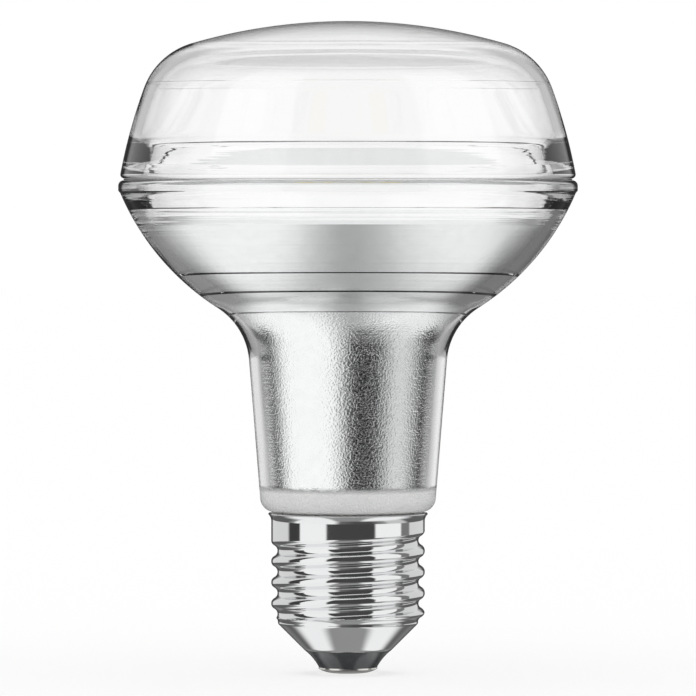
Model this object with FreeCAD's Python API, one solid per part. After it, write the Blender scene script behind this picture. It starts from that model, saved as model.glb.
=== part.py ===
# Reflector lamp with a clear glass front, a mirrored glass body and an Edison screw cap.
# Millimetres. The lamp stands cap down on its axis, +Z from the cap to the front.
# The origin is the centre of the cap's end contact, at its lowest face.

import FreeCAD, Part

import math
import os

from FreeCAD import Vector

# Whole lamp
SEAM_Z = 84.7                 # top face of the body's rim
SEAM_GAP = 0.3                # thickness of the adhesive in the seam
SEAT_GAP = 0.03               # between pieces that seat on each other
RIM_RADIUS = 39.45            # widest point of the lamp, on the body's rim

# Front glass
DOME_HEIGHT = 27.0            # foot to crown
DOME_WALL = 1.9
DOME_CROWN_ARC = 96.5         # shallow crown
DOME_SHOULDER_ARC = 12.4
DOME_SIDE_ARC = 93.0          # slightly bowed side
DOME_SETBACK = 0.37           # the foot is this much smaller in radius than the rim
DOME_FOOT_LEAN = 10.7         # lean of the side there, degrees from upright
DOME_FOOT_ROUND = 0.7         # rounding under the foot
DOME_FOOT_WALL = 3.6          # the pressed foot is thicker than the wall
DOME_FOOT_HEIGHT = 2.0
DOME_FOOT_SLOPE = 6.0         # height above the foot's face where it runs out into the wall
SEAL_INSET = 0.35             # the adhesive stays this far inside the foot's flat face

# Glass body
RIM_ROUND = 0.95
RIM_WALL = 2.8
RIM_DEPTH = 4.2               # the rim's inner wall ends on a ledge this far down
RIM_DRAFT = 0.2               # the rim's inner wall leans in by this much on the way down
RIM_BAND = 0.85               # upright band under the rim's rounding
RIM_BAND_STEP = 0.4           # height of the step from band to bowl
BOWL_ARC = 43.55              # outer arc of the bowl
BOWL_SETBACK = 0.34           # where it starts under the rim, inside the rim's radius
BOWL_LEAN = 23.0              # lean of the bowl there, degrees from upright
BOWL_WALL = 2.15
RING_STEP = 0.55              # the wall thickens by this much at each pressed ring
UPPER_RING = 14.7             # depth of the rings below the seam
LOWER_RING = 17.5
NECK_BLEND = 11.8             # hollow blend from bowl to neck
NECK_RADIUS = 15.17           # neck at the height NECK_RADIUS_Z
NECK_RADIUS_Z = 31.0
NECK_TAPER = 4.6              # degrees from upright
NECK_WALL = 1.7
NECK_CORNER = 2.4
NECK_END_Z = 27.75
STUB_CLEARANCE = 0.73         # from the glass stub inside the cap to the roots of the shell's thread
STUB_WALL = 1.4
STUB_END_Z = 15.5
COATING = 0.1                 # thickness given to the mirror layer
COATING_TOP = 6.9             # the mirror starts this far below the seam
COATING_END = 3.65            # and ends this far above the neck's lower face

# Cap shell, Edison 27
SHEET = 0.25
THREAD_RADIUS = 13.2          # over the crests
THREAD_PITCH = 3.629          # seven turns to the inch
THREAD_ARC = 1.025            # crest and root arcs of the standard profile
CREST_EXTRA = 0.02            # the crest arcs are cut off this far below their tops
GROOVE_OUT = 1.6              # how far the rolling tool stands clear of the crests
GROOVE_DROP = 0.18            # on the +X side, groove zero lies this far below the top of the cone
GROOVE_START = -0.6           # turns from groove zero
SKIRT_HEIGHT = 2.0            # plain skirt above the end of the groove
GROOVE_FADE = 0.33            # turns over which the groove runs out at its upper end
STEPS_PER_TURN = 12
ROOT_CYLINDER = THREAD_RADIUS - 1.15   # plain part under the last turn
CONE_CORNER = 0.5             # rounding between that part and the 45 degree cone
MOUTH_RADIUS = 7.5            # lower rim of the sheet
MOUTH_Z = 3.95
SKIRT_END_Z = 26.15           # plain skirt ends and the flare starts
FLARE_ARC = 1.6
FLARE_RADIUS = THREAD_RADIUS + 0.55

# Contact, insulator, cement and leads
CONTACT_RADIUS = 5.05
CONTACT_SHEET = 0.4
CONTACT_FLAT = 2.3            # radius of its flat middle
CONTACT_CURVE = 5.75          # arc from there up to its edge
CONTACT_HEIGHT = 1.0          # to the top of its turned-up edge
CONTACT_HOLE = 1.5
SOLDER_HEIGHT = 1.6
INSULATOR_DROP = 0.9          # its top is this far below the top of the shell's cone
INSULATOR_LIP = 1.2           # flat ring round the dish in its top
INSULATOR_DISH = 2.6          # depth of the dish
INSULATOR_BORE = 1.2
INSULATOR_HOLLOW = 0.2        # its side is hollow by this much between shell and contact
CEMENT_END_Z = 16.6
CEMENT_STEP_Z = 25.3          # wider above the thread
CEMENT_TOP_Z = 26.4
LEAD_RADIUS = 0.35
LEAD_BEND = 1.6
LEAD_SOLDERED = 3.5           # length of lead on the driver board
LEAD_TIP = 0.25               # the supply lead ends this far inside the solder

# Light source
SPREADER_RADIUS = 22.0
SPREADER_PLATE = 1.0
SPREADER_WALL = 0.9
SPREADER_SKIRT = 16.0
SPREADER_CLEARANCE = 0.1      # from the skirt to the mirror
LIGHT_BOARD_RADIUS = 16.5
LIGHT_BOARD = 1.0
CHIP_COUNT = 8
CHIP_RING = 8.6
CHIP_SIZE = (2.8, 3.5, 0.65)
SCREW_RING = 11.9
SCREW_RADIUS = 1.0
SCREW_LENGTH = 4.0
SCREW_HEAD = 1.75
SCREW_HEAD_HEIGHT = 1.2
SCREW_SLOT = 0.5
HOLE_CLEARANCE = 0.05
SOCKET_SIZE = (6.4, 3.4, 2.6)
PIN_SIDE = 0.5
PIN_PITCH = 2.54
PIN_LENGTH = 15.0
PIN_STANDOUT = 2.0            # into the socket, above the light board
HEADER_SIZE = (5.1, 2.5, 2.5)

# Driver
SLEEVE_CLEARANCE = 0.3        # from the sleeve to the glass stub
SLEEVE_WALL = 0.8
SLEEVE_END_Z = 12.6
COLLAR_HEIGHT = 3.2
COLLAR_WALL = 1.2
BOSS_WALL = 0.9               # plastic round each screw under the collar
CUP_TOP_Z = 33.0              # cup round the sleeve, on the neck's floor
CUP_WALL = 0.8
GUIDE_RIB = (1.2, 0.8)        # reach inward and thickness
DRIVER_CLEARANCE = 0.3        # from the edges of the driver board to the sleeve
DRIVER_BOARD = 1.2
DRIVER_END_Z = 14.2
DRIVER_HEADROOM = 5.5         # from the driver board up to the heat spreader
COMPONENT_GAP = 1.5           # along the board, from pins to film capacitor, bulk capacitor and fuse
FILM_BOX = (7.5, 4.0, 7.5)
BULK_LENGTH = 13.0
BULK_CLEARANCE = 1.0          # from the can to the sleeve
COIL_FLANGE = (3.6, 1.0)      # radius and thickness
COIL_CORE = 1.6
COIL_WINDING = 3.2
COIL_CLEARANCE = 2.0          # from the coil to the sleeve
COIL_UP = 32.8
BRIDGE_BODY = (4.8, 1.5, 4.0, 7.8)   # width, height, length and height above the board's end
CHIP_BODY = (4.9, 1.5, 3.9, 18.8)
LEG_SIZE = (0.4, 0.2, 1.0)
RESISTOR_CHIP = (1.6, 0.55, 3.2)
RESISTOR_INSET = 2.4          # from the edges of the driver board to the middle of the columns
RESISTOR_ROWS = (2.4, 13.3, 23.8)
FUSE_BODY = (1.2, 6.0)
COMPONENT_LEG = 0.3

ORIGIN = Vector(0, 0, 0)
UP = Vector(0, 0, 1)
TAPER = math.tan(math.radians(NECK_TAPER))
HALF_PITCH = THREAD_PITCH / 2
THREAD_DEPTH = 2 * THREAD_ARC - math.sqrt(4 * THREAD_ARC ** 2 - HALF_PITCH ** 2)
SHELL_BORE = THREAD_RADIUS + CREST_EXTRA - THREAD_DEPTH - SHEET   # inside the roots of the thread
CONE_TOP_Z = MOUTH_Z + ROOT_CYLINDER - MOUTH_RADIUS
GROOVE_Z = CONE_TOP_Z - GROOVE_DROP
GROOVE_END = (SKIRT_END_Z - SKIRT_HEIGHT - GROOVE_Z) / THREAD_PITCH
INSULATOR_TOP_Z = CONE_TOP_Z - INSULATOR_DROP
INSULATOR_DISH_Z = INSULATOR_TOP_Z - INSULATOR_DISH
STUB_RADIUS = SHELL_BORE - STUB_CLEARANCE
SLEEVE_RADIUS = STUB_RADIUS - STUB_WALL - SLEEVE_CLEARANCE
SLEEVE_BORE = SLEEVE_RADIUS - SLEEVE_WALL
DRIVER_HALF_WIDTH = SLEEVE_BORE - DRIVER_CLEARANCE
DOME_FOOT_RADIUS = RIM_RADIUS - DOME_SETBACK
DOME_BORE = DOME_FOOT_RADIUS - DOME_FOOT_WALL
BOWL_TOP_Z = SEAM_Z - RIM_ROUND - RIM_BAND - RIM_BAND_STEP
RIM_LEDGE_Z = SEAM_Z - RIM_DEPTH
UPPER_RING_Z = SEAM_Z - UPPER_RING
LOWER_RING_Z = SEAM_Z - LOWER_RING
COATING_TOP_Z = SEAM_Z - COATING_TOP
COATING_END_Z = NECK_END_Z + COATING_END
NECK_FLOOR_Z = NECK_END_Z + NECK_WALL


# Half plane of a section: a point is (radius, height), and an arc is (start, middle, end).

def polar(centre, radius, degrees):
    """Point on a circle, its angle measured from outward toward up."""
    a = math.radians(degrees)
    return (centre[0] + radius * math.cos(a), centre[1] + radius * math.sin(a))


def bearing(centre, point):
    return math.degrees(math.atan2(point[1] - centre[1], point[0] - centre[0]))


def arc(centre, radius, start, end):
    return tuple(polar(centre, radius, a) for a in (start, (start + end) / 2, end))


def is_arc(piece):
    return isinstance(piece[0], tuple)


def section_edges(pieces):
    """Edges through points and arcs, with straight lines between ends that differ."""
    edges = []
    last = None
    for piece in pieces:
        start = piece[0] if is_arc(piece) else piece
        if last is not None and math.dist(last, start) > 1e-6:
            edges.append(Part.LineSegment(Vector(last[0], 0, last[1]), Vector(start[0], 0, start[1])).toShape())
        if is_arc(piece):
            edges.append(Part.Arc(*[Vector(p[0], 0, p[1]) for p in piece]).toShape())
        last = piece[2] if is_arc(piece) else piece
    return edges


def turned(pieces):
    """Solid of revolution of a closed section about the lamp's axis."""
    first = pieces[0][0] if is_arc(pieces[0]) else pieces[0]
    face = Part.Face(Part.Wire(section_edges(pieces + [first])))
    return face.revolve(ORIGIN, UP, 360)


def box(size, centre, foot_z):
    """Upright box of (x, y, z) size, centred on (x, y)."""
    corner = Vector(centre[0] - size[0] / 2, centre[1] - size[1] / 2, foot_z)
    return Part.makeBox(size[0], size[1], size[2], corner)


def rod(radius, height, x, y, foot_z, direction=UP):
    return Part.makeCylinder(radius, height, Vector(x, y, foot_z), direction)


def group(solids):
    return Part.makeCompound(solids)


def one_solid(shape):
    """The single solid of a boolean's result, with split faces joined again."""
    return shape.removeSplitter().Solids[0]


# Outlines that several pieces share

def dome_outline(inset, end_z=None):
    """Crown, shoulder and side arcs of the front glass from the axis to its foot, or to end_z."""
    lean = math.radians(DOME_FOOT_LEAN)
    foot = (DOME_FOOT_RADIUS, SEAM_Z + SEAM_GAP + DOME_FOOT_ROUND * (1 + math.sin(lean)))
    crown = (0, SEAM_Z + SEAM_GAP + DOME_HEIGHT - DOME_CROWN_ARC)
    side = polar(foot, DOME_SIDE_ARC, 180 + DOME_FOOT_LEAN)
    # The shoulder's centre lies where circles about the other two centres cross.
    to_crown = DOME_CROWN_ARC - DOME_SHOULDER_ARC
    to_side = DOME_SIDE_ARC - DOME_SHOULDER_ARC
    apart = math.dist(crown, side)
    along = (to_crown ** 2 - to_side ** 2 + apart ** 2) / (2 * apart)
    across = math.sqrt(to_crown ** 2 - along ** 2)
    turn = math.degrees(math.atan2(across, along))
    shoulder = polar(crown, to_crown, bearing(crown, side) - turn)
    if shoulder[0] < 0:
        shoulder = polar(crown, to_crown, bearing(crown, side) + turn)
    top = bearing(crown, shoulder)
    low = bearing(side, shoulder)
    end = DOME_FOOT_LEAN
    if end_z is not None:
        end = math.degrees(math.asin((end_z - side[1]) / (DOME_SIDE_ARC - inset)))
    return [arc(crown, DOME_CROWN_ARC - inset, 90, top),
            arc(shoulder, DOME_SHOULDER_ARC - inset, top, low),
            arc(side, DOME_SIDE_ARC - inset, low, end)]


BOWL_CENTRE = polar((RIM_RADIUS - BOWL_SETBACK, BOWL_TOP_Z), BOWL_ARC, 180 - BOWL_LEAN)


def bowl_radius(arc_radius, z):
    return BOWL_CENTRE[0] + math.sqrt(arc_radius ** 2 - (z - BOWL_CENTRE[1]) ** 2)


def bowl_arc(arc_radius, top_z, low_z):
    ends = [bearing(BOWL_CENTRE, (bowl_radius(arc_radius, z), z)) for z in (top_z, low_z)]
    return arc(BOWL_CENTRE, arc_radius, *ends)


def neck_outside(z):
    return NECK_RADIUS + (z - NECK_RADIUS_Z) * TAPER


def neck_inside(z, inset=0):
    return neck_outside(z) - (NECK_WALL + inset) / math.cos(math.radians(NECK_TAPER))


def throat(arc_radius, depth):
    """Centre and radius of the blend from a bowl arc to the line that lies depth inside the neck's outer face."""
    radius = NECK_BLEND + depth
    z = NECK_RADIUS_Z
    for _ in range(60):
        r = neck_outside(z) + NECK_BLEND / math.cos(math.radians(NECK_TAPER))
        z = BOWL_CENTRE[1] - math.sqrt((arc_radius + radius) ** 2 - (r - BOWL_CENTRE[0]) ** 2)
    return (r, z), radius


def bowl_inside(inset, top_z, end_z):
    """Inner outline of bowl and neck from top_z down to end_z, with its two pressed rings."""
    arcs = [BOWL_ARC - BOWL_WALL - inset - n * RING_STEP for n in range(3)]
    rings = [UPPER_RING_Z + inset, LOWER_RING_Z + inset]
    centre, radius = throat(arcs[2], NECK_WALL + inset)
    top = bearing(centre, BOWL_CENTRE)
    return [bowl_arc(arcs[0], top_z, rings[0]),
            bowl_arc(arcs[1], rings[0], rings[1]),
            bowl_arc(arcs[2], rings[1], polar(centre, radius, top)[1]),
            arc(centre, radius, top, 180 - NECK_TAPER),
            (neck_inside(end_z, inset), end_z)]


def floor_z(reach, inset):
    """Height of the bowl's floor, inside the lower ring, at a radius of reach."""
    arc_radius = BOWL_ARC - BOWL_WALL - inset - 2 * RING_STEP
    centre, radius = throat(arc_radius, NECK_WALL + inset)
    if reach < polar(centre, radius, bearing(centre, BOWL_CENTRE))[0]:
        return centre[1] + math.sqrt(radius ** 2 - (reach - centre[0]) ** 2)
    return BOWL_CENTRE[1] - math.sqrt(arc_radius ** 2 - (reach - BOWL_CENTRE[0]) ** 2)


PLATE_Z = floor_z(SPREADER_RADIUS, COATING + 2 * SEAT_GAP)   # underside of the heat spreader's plate
PLATE_TOP_Z = PLATE_Z + SPREADER_PLATE
LIGHT_TOP_Z = PLATE_TOP_Z + LIGHT_BOARD
DRIVER_FACE = DRIVER_BOARD / 2
DRIVER_TOP_Z = PLATE_Z - DRIVER_HEADROOM
DRIVER_HEIGHT = DRIVER_TOP_Z - DRIVER_END_Z
PIN_Y = DRIVER_FACE + PIN_SIDE / 2
PIN_END_Z = LIGHT_TOP_Z + PIN_STANDOUT - PIN_LENGTH
FILM_Z = PIN_END_Z - COMPONENT_GAP - FILM_BOX[2]
BULK_Z = FILM_Z - COMPONENT_GAP - BULK_LENGTH
FUSE_Z = BULK_Z - COMPONENT_GAP - 8 * COMPONENT_LEG - FUSE_BODY[1]
COIL_HEIGHT = SLEEVE_BORE - DRIVER_FACE - COIL_CLEARANCE


# Glass

def glass_dome():
    """Pressed glass with an even wall and a thicker foot, whose inner face slopes out into the wall."""
    face_z = SEAM_Z + SEAM_GAP
    outside = dome_outline(0)
    inside = dome_outline(DOME_WALL, face_z + DOME_FOOT_SLOPE)
    foot = polar(outside[2][2], DOME_FOOT_ROUND, 180 + DOME_FOOT_LEAN)
    return turned(outside + [arc(foot, DOME_FOOT_ROUND, DOME_FOOT_LEAN, -90), (DOME_BORE, face_z),
                             (DOME_BORE, face_z + DOME_FOOT_HEIGHT)]
                  + [piece[::-1] for piece in reversed(inside)])


def rim_seal():
    """Clear adhesive between the two flat faces of the seam."""
    inner = max(RIM_RADIUS - RIM_WALL, DOME_BORE) + SEAL_INSET
    outer = DOME_FOOT_RADIUS - DOME_FOOT_ROUND
    low = SEAM_Z + SEAT_GAP
    high = SEAM_Z + SEAM_GAP - SEAT_GAP
    bulge = ((outer, high), (outer + SEAM_GAP / 2, (low + high) / 2), (outer, low))
    return turned([(inner, high), bulge, (inner, low)])


def reflector_body():
    """Rim, ringed bowl, tapered neck and the stub that goes into the cap, in one piece of glass."""
    rim = (RIM_RADIUS - RIM_ROUND, SEAM_Z - RIM_ROUND)
    band_z = rim[1] - RIM_BAND
    rim_inside = RIM_RADIUS - RIM_WALL
    blend, _ = throat(BOWL_ARC, 0)
    meet = polar(BOWL_CENTRE, BOWL_ARC, bearing(BOWL_CENTRE, blend))
    corner_z = NECK_END_Z + NECK_CORNER
    corner = (neck_outside(corner_z) - NECK_CORNER / math.cos(math.radians(NECK_TAPER)), corner_z)
    stub_inside = STUB_RADIUS - STUB_WALL
    corner_cut = NECK_CORNER - NECK_WALL
    outside = [arc(rim, RIM_ROUND, 90, 0), (RIM_RADIUS, band_z), bowl_arc(BOWL_ARC, BOWL_TOP_Z, meet[1]),
               arc(blend, NECK_BLEND, bearing(blend, BOWL_CENTRE), 180 - NECK_TAPER),
               arc(corner, NECK_CORNER, -NECK_TAPER, -90),
               (STUB_RADIUS, NECK_END_Z), (STUB_RADIUS, STUB_END_Z), (stub_inside, STUB_END_Z)]
    inside = [(stub_inside, NECK_FLOOR_Z), (neck_inside(corner_z) - corner_cut, NECK_FLOOR_Z)]
    inside += [piece[::-1] if is_arc(piece) else piece
               for piece in reversed(bowl_inside(0, RIM_LEDGE_Z, corner_z))]
    inside += [(rim_inside - RIM_DRAFT, RIM_LEDGE_Z), (rim_inside, SEAM_Z)]
    return turned(outside + inside)


def mirror_coating():
    """Bright layer on the inside of bowl and neck."""
    outer = bowl_inside(SEAT_GAP, COATING_TOP_Z, COATING_END_Z)
    inner = bowl_inside(SEAT_GAP + COATING, COATING_TOP_Z, COATING_END_Z)
    return turned(outer + [piece[::-1] if is_arc(piece) else piece for piece in reversed(inner)])


# Screw cap

def conic_arc(centre, radius, start, end):
    """An arc of less than half a turn as three weighted poles (r, z, weight)."""
    weight = math.cos(math.radians((end - start) / 2))
    middle = polar(centre, radius / weight, (start + end) / 2)
    return [polar(centre, radius, start) + (1.0,), middle + (weight,), polar(centre, radius, end) + (1.0,)]


def groove_poles(inset):
    """Section of the rolled groove between two crests, for the face of the sheet at a depth of inset."""
    span = 2 * THREAD_ARC
    slope = math.degrees(math.asin(HALF_PITCH / span))
    crest_r = THREAD_RADIUS + CREST_EXTRA - THREAD_ARC
    root_r = crest_r + math.sqrt(span ** 2 - HALF_PITCH ** 2)
    crest_arc = THREAD_ARC - inset
    root_arc = THREAD_ARC + inset
    poles = conic_arc((crest_r, -HALF_PITCH), crest_arc, 0, slope)
    poles += conic_arc((root_r, 0), root_arc, 180 + slope, 180)[1:]
    poles += conic_arc((root_r, 0), root_arc, 180, 180 - slope)[1:]
    poles += conic_arc((crest_r, HALF_PITCH), crest_arc, -slope, 0)[1:]
    return poles


def groove_stations():
    """Turns, lift and height along the groove. It lifts out of the sheet at its upper end."""
    count = round((GROOVE_END - GROOVE_START) * STEPS_PER_TURN)
    stations = []
    for n in range(count + 1):
        turns = GROOVE_START + (GROOVE_END - GROOVE_START) * n / count
        fade = max(0.0, (turns - GROOVE_END + GROOVE_FADE) / GROOVE_FADE)
        stations.append((turns, GROOVE_OUT * fade ** 2, GROOVE_Z + THREAD_PITCH * turns))
    return stations


def helical_band(poles, degree):
    """Surface that carries a row of section poles along the groove."""
    stations = groove_stations()
    paths = []
    for r, z, _ in poles:
        points = []
        for turns, lift, height in stations:
            a = 2 * math.pi * turns
            points.append(Vector((r + lift) * math.cos(a), (r + lift) * math.sin(a), z + height))
        path = Part.BSplineCurve()
        path.interpolate(Points=points, Parameters=[float(n) for n in range(len(points))])
        paths.append(path)
    spans = (len(poles) - 1) // degree
    first = paths[0]
    surface = Part.BSplineSurface()
    surface.buildFromPolesMultsKnots(
        [path.getPoles() for path in paths],
        [degree + 1] + [degree] * (spans - 1) + [degree + 1], first.getMultiplicities(),
        [float(n) for n in range(spans + 1)], first.getKnots(), False, False, degree, first.Degree,
        [[pole[2]] * first.NbPoles for pole in poles])
    return surface


def groove_solid(inset):
    """The space that the rolling tool takes from one face of the sheet."""
    section = groove_poles(inset)
    low, high = section[0], section[-1]
    outer = THREAD_RADIUS + GROOVE_OUT
    corners = [high, (outer, high[1], 1.0), (outer, low[1], 1.0), low]
    bands = [helical_band(section, 2)]
    bands += [helical_band(list(pair), 1) for pair in zip(corners, corners[1:])]
    faces = [band.toShape() for band in bands]
    for end in (2, 3):
        rims = [band.vIso(band.bounds()[end]).toShape() for band in bands]
        faces.append(Part.Face(Part.Wire(Part.__sortEdges__(rims))))
    shell = Part.Shell(faces)
    shell.sewShape(1e-4)
    solid = Part.makeSolid(shell)
    if solid.Volume < 0:
        solid.reverse()
    return solid


def shell_outline(inset):
    """Outline of one face of the cap's sheet without its thread, from the mouth up to the flare."""
    cone_drop = inset * math.sqrt(2)
    corner = (ROOT_CYLINDER - CONE_CORNER, CONE_TOP_Z + CONE_CORNER * math.tan(math.radians(22.5)))
    swing = math.degrees(math.acos(1 - (THREAD_RADIUS - ROOT_CYLINDER) / (2 * THREAD_ARC)))
    root = (ROOT_CYLINDER + THREAD_ARC, corner[1] + SEAT_GAP)
    crest = (THREAD_RADIUS - THREAD_ARC, root[1] + 2 * THREAD_ARC * math.sin(math.radians(swing)))
    flare = (THREAD_RADIUS + FLARE_ARC, SKIRT_END_Z)
    flare_end = 180 - math.degrees(math.acos((flare[0] - FLARE_RADIUS) / FLARE_ARC))
    return [(MOUTH_RADIUS - cone_drop, MOUTH_Z),
            arc(corner, CONE_CORNER - inset, -45, 0),
            arc(root, THREAD_ARC + inset, 180, 180 - swing),
            arc(crest, THREAD_ARC - inset, -swing, 0),
            arc(flare, FLARE_ARC + inset, 180, flare_end)]


def cap_shell():
    """Thin sheet with the thread rolled through it, so both faces carry the same wave."""
    outside = shell_outline(0)
    inside = shell_outline(SHEET)
    top = inside[-1][2]
    body = turned([(0, MOUTH_Z)] + outside + [top, (0, top[1])])
    hollow = turned([(0, 0), (inside[0][0], 0)] + inside + [(top[0], SEAM_Z), (0, SEAM_Z)])
    body = body.cut(groove_solid(0))
    hollow = hollow.cut(groove_solid(SHEET))
    return body.cut(hollow).Solids[0]


def cap_insulator():
    """Dark glass, flush with the cone of the sheet, between shell and contact."""
    inside = SHEET * math.sqrt(2) + SEAT_GAP
    rim = MOUTH_RADIUS - inside
    top_radius = rim + INSULATOR_TOP_Z - MOUTH_Z
    flat_z = CONTACT_SHEET + SEAT_GAP
    nose = contact_arc(CONTACT_SHEET + SEAT_GAP, CONTACT_HEIGHT + SEAT_GAP)
    low = (CONTACT_RADIUS - SEAT_GAP, CONTACT_HEIGHT + SEAT_GAP)
    high = (MOUTH_RADIUS - SEAT_GAP, MOUTH_Z - SEAT_GAP)
    hollow = INSULATOR_HOLLOW / math.sqrt(2)
    side = (low, ((low[0] + high[0]) / 2 - hollow, (low[1] + high[1]) / 2 + hollow), high)
    dish = ((top_radius - INSULATOR_LIP, INSULATOR_TOP_Z),
            (top_radius * 0.6, INSULATOR_DISH_Z + (INSULATOR_TOP_Z - INSULATOR_DISH_Z) * 0.25),
            (INSULATOR_BORE * 2, INSULATOR_DISH_Z))
    return turned([(INSULATOR_BORE, flat_z), nose, side, (rim, high[1]), (rim, MOUTH_Z),
                   (top_radius, INSULATOR_TOP_Z), dish, (INSULATOR_BORE, INSULATOR_DISH_Z)])


def contact_arc(inset, end_z):
    """The contact's curve, moved up into it by inset, from its flat middle to a height."""
    centre = (CONTACT_FLAT, CONTACT_CURVE)
    radius = CONTACT_CURVE - inset
    return arc(centre, radius, -90, -math.degrees(math.asin((CONTACT_CURVE - end_z) / radius)))


def centre_contact():
    """Shallow dish pressed over the insulator's nose, with a hole for the lead."""
    edge_z = CONTACT_CURVE - math.sqrt(CONTACT_CURVE ** 2 - (CONTACT_RADIUS - CONTACT_FLAT) ** 2)
    inside = contact_arc(CONTACT_SHEET, CONTACT_HEIGHT)
    return turned([(CONTACT_HOLE, 0), contact_arc(0, edge_z), (CONTACT_RADIUS, CONTACT_HEIGHT),
                   inside[::-1], (CONTACT_HOLE, CONTACT_SHEET)])


def contact_solder():
    """Solder flush with the contact, round the end of the lead."""
    hole = CONTACT_HOLE - SEAT_GAP
    bore = INSULATOR_BORE - SEAT_GAP
    lead = LEAD_RADIUS + SEAT_GAP
    floor = LEAD_TIP - SEAT_GAP
    return turned([(0, 0), (hole, 0), (hole, CONTACT_SHEET), (bore, CONTACT_SHEET), (bore, SOLDER_HEIGHT),
                   (lead, SOLDER_HEIGHT), (lead, floor), (0, floor)])


def cap_cement():
    """Ring of cement between the glass stub and the shell."""
    root = SHELL_BORE - SEAT_GAP
    skirt = THREAD_RADIUS - SHEET - SEAT_GAP
    inner = STUB_RADIUS + SEAT_GAP
    step_top = CEMENT_STEP_Z + skirt - root
    return turned([(inner, CEMENT_END_Z), (root, CEMENT_END_Z), (root, CEMENT_STEP_Z), (skirt, step_top),
                   (skirt, CEMENT_TOP_Z), (inner, CEMENT_TOP_Z)])


def bent_lead(points):
    """Round wire along straight runs joined by tangent arcs."""
    edges = []
    start = points[0]
    for before, corner, after in zip(points, points[1:], points[2:]):
        back = (before - corner).normalize()
        ahead = (after - corner).normalize()
        half = back.getAngle(ahead) / 2
        reach = LEAD_BEND / math.tan(half)
        middle = (back + ahead).normalize()
        centre = corner + middle * (LEAD_BEND / math.sin(half))
        first = corner + back * reach
        last = corner + ahead * reach
        edges.append(Part.LineSegment(start, first).toShape())
        edges.append(Part.Arc(first, centre - middle * LEAD_BEND, last).toShape())
        start = last
    edges.append(Part.LineSegment(start, points[-1]).toShape())
    direction = points[1] - points[0]
    section = Part.Wire(Part.makeCircle(LEAD_RADIUS, points[0], direction))
    return Part.Wire(edges).makePipeShell([section], True, False)


def lead_start(x):
    """The two points of a lead where it lies on the driver board and leaves it."""
    y = DRIVER_FACE + LEAD_RADIUS + SEAT_GAP
    return [Vector(x, y, DRIVER_END_Z + LEAD_SOLDERED), Vector(x, y, SLEEVE_END_Z - LEAD_BEND / 2)]


def supply_wire():
    """From the driver board to the solder in the end contact."""
    turn_z = SLEEVE_END_Z - 2 * LEAD_BEND
    return bent_lead(lead_start(-LEAD_BEND) + [Vector(0, 0, turn_z - LEAD_BEND), Vector(0, 0, LEAD_TIP)])


def shell_wire():
    """From the driver board to the shell, at the root of the first turn below the sleeve on the +X side."""
    start = lead_start(SLEEVE_RADIUS / 2)
    turns = math.floor((SLEEVE_END_Z - LEAD_RADIUS - SEAT_GAP - GROOVE_Z) / THREAD_PITCH)
    start[1].z = GROOVE_Z + THREAD_PITCH * turns
    reach = math.sqrt((SHELL_BORE - SEAT_GAP) ** 2 - (start[1].y + LEAD_RADIUS) ** 2)
    return bent_lead(start + [Vector(reach, start[1].y, start[1].z)])


# Light source

def screw_places():
    return [(side * SCREW_RING, 0) for side in (-1, 1)]


def pin_places():
    return [(side * PIN_PITCH / 2, PIN_Y) for side in (-1, 1)]


def pin_window(foot_z, height):
    """Slot that lets both pins through a plate."""
    size = (PIN_PITCH + 3 * PIN_SIDE, 3 * PIN_SIDE, height)
    return box(size, (0, PIN_Y), foot_z)


def heat_spreader():
    """Plate that rests on the bowl's floor, with a skirt that follows the neck."""
    inset = COATING + 2 * SEAT_GAP + SPREADER_CLEARANCE
    end_z = PLATE_Z - SPREADER_SKIRT
    top = neck_inside(PLATE_Z, inset)
    end = neck_inside(end_z, inset)
    shape = turned([(0, PLATE_TOP_Z), (SPREADER_RADIUS, PLATE_TOP_Z), (SPREADER_RADIUS, PLATE_Z),
                    (top, PLATE_Z), (end, end_z), (end - SPREADER_WALL, end_z), (top - SPREADER_WALL, PLATE_Z),
                    (0, PLATE_Z)])
    for x, y in screw_places():
        shape = shape.cut(rod(SCREW_RADIUS + HOLE_CLEARANCE, SPREADER_PLATE, x, y, PLATE_Z))
    return shape.cut(pin_window(PLATE_Z, SPREADER_PLATE)).Solids[0]


def led_board():
    shape = rod(LIGHT_BOARD_RADIUS, LIGHT_BOARD, 0, 0, PLATE_TOP_Z)
    for x, y in screw_places():
        shape = shape.cut(rod(SCREW_RADIUS + HOLE_CLEARANCE, LIGHT_BOARD, x, y, PLATE_TOP_Z))
    return shape.cut(pin_window(PLATE_TOP_Z, LIGHT_BOARD)).Solids[0]


def led_chips():
    chips = []
    for n in range(CHIP_COUNT):
        chip = box(CHIP_SIZE, (0, CHIP_RING), LIGHT_TOP_Z)
        chip.rotate(ORIGIN, UP, 360 * (n + 0.5) / CHIP_COUNT)
        chips.append(chip)
    return group(chips)


def board_screws():
    screws = []
    for x, y in screw_places():
        shank = rod(SCREW_RADIUS, SCREW_LENGTH, x, y, LIGHT_TOP_Z - SCREW_LENGTH)
        head = rod(SCREW_HEAD, SCREW_HEAD_HEIGHT, x, y, LIGHT_TOP_Z)
        slot = box((2 * SCREW_HEAD, SCREW_SLOT, SCREW_HEAD_HEIGHT), (x, y), LIGHT_TOP_Z + SCREW_HEAD_HEIGHT / 2)
        screws.append(one_solid(shank.fuse(head)).cut(slot).Solids[0])
    return group(screws)


def board_socket():
    body = box(SOCKET_SIZE, (0, PIN_Y), LIGHT_TOP_Z)
    side = PIN_SIDE + 2 * HOLE_CLEARANCE
    for place in pin_places():
        body = body.cut(box((side, side, SOCKET_SIZE[2]), place, LIGHT_TOP_Z))
    return body.Solids[0]


def header_pins():
    return group([box((PIN_SIDE, PIN_SIDE, PIN_LENGTH), place, PIN_END_Z) for place in pin_places()])


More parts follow.
